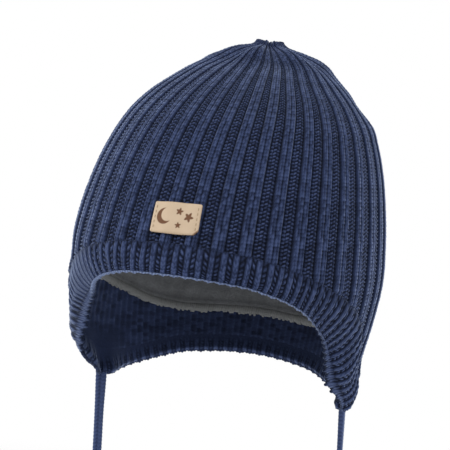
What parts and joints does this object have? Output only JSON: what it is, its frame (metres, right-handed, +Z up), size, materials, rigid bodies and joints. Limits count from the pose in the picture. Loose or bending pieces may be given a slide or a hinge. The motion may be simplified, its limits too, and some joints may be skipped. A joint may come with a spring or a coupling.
{
  "type": "tie-up knitted baby hat",
  "caption": "Baby's ribbed knit hat with ear flaps, gathered top, knitted hem band, fleece lining, front leather patch and tie cords hanging from the flap tips.",
  "frame": {"origin": "the point inside the lining's top where the crown of the head carries the hat", "axes": "+Z up, -Y towards the face opening and the front patch, +X towards the wearer's left ear"},
  "size_m": [0.1507, 0.1733, 0.3734],
  "materials": {
    "yarn": "soft navy ribbed wool knit, slightly fuzzy",
    "fleece": "grey brushed fleece",
    "patch_leather": "natural tan leather, matt"
  },
  "bodies": {
    "root": {"knit_crown": "yarn", "hem_band": "yarn", "fleece_lining": "fleece", "lining_hem": "fleece", "leather_patch": "patch_leather", "tie_cord_left": "yarn", "tie_cord_right": "yarn", "tie_knot_left": "yarn", "tie_knot_right": "yarn"}
  },
  "joints": []
}
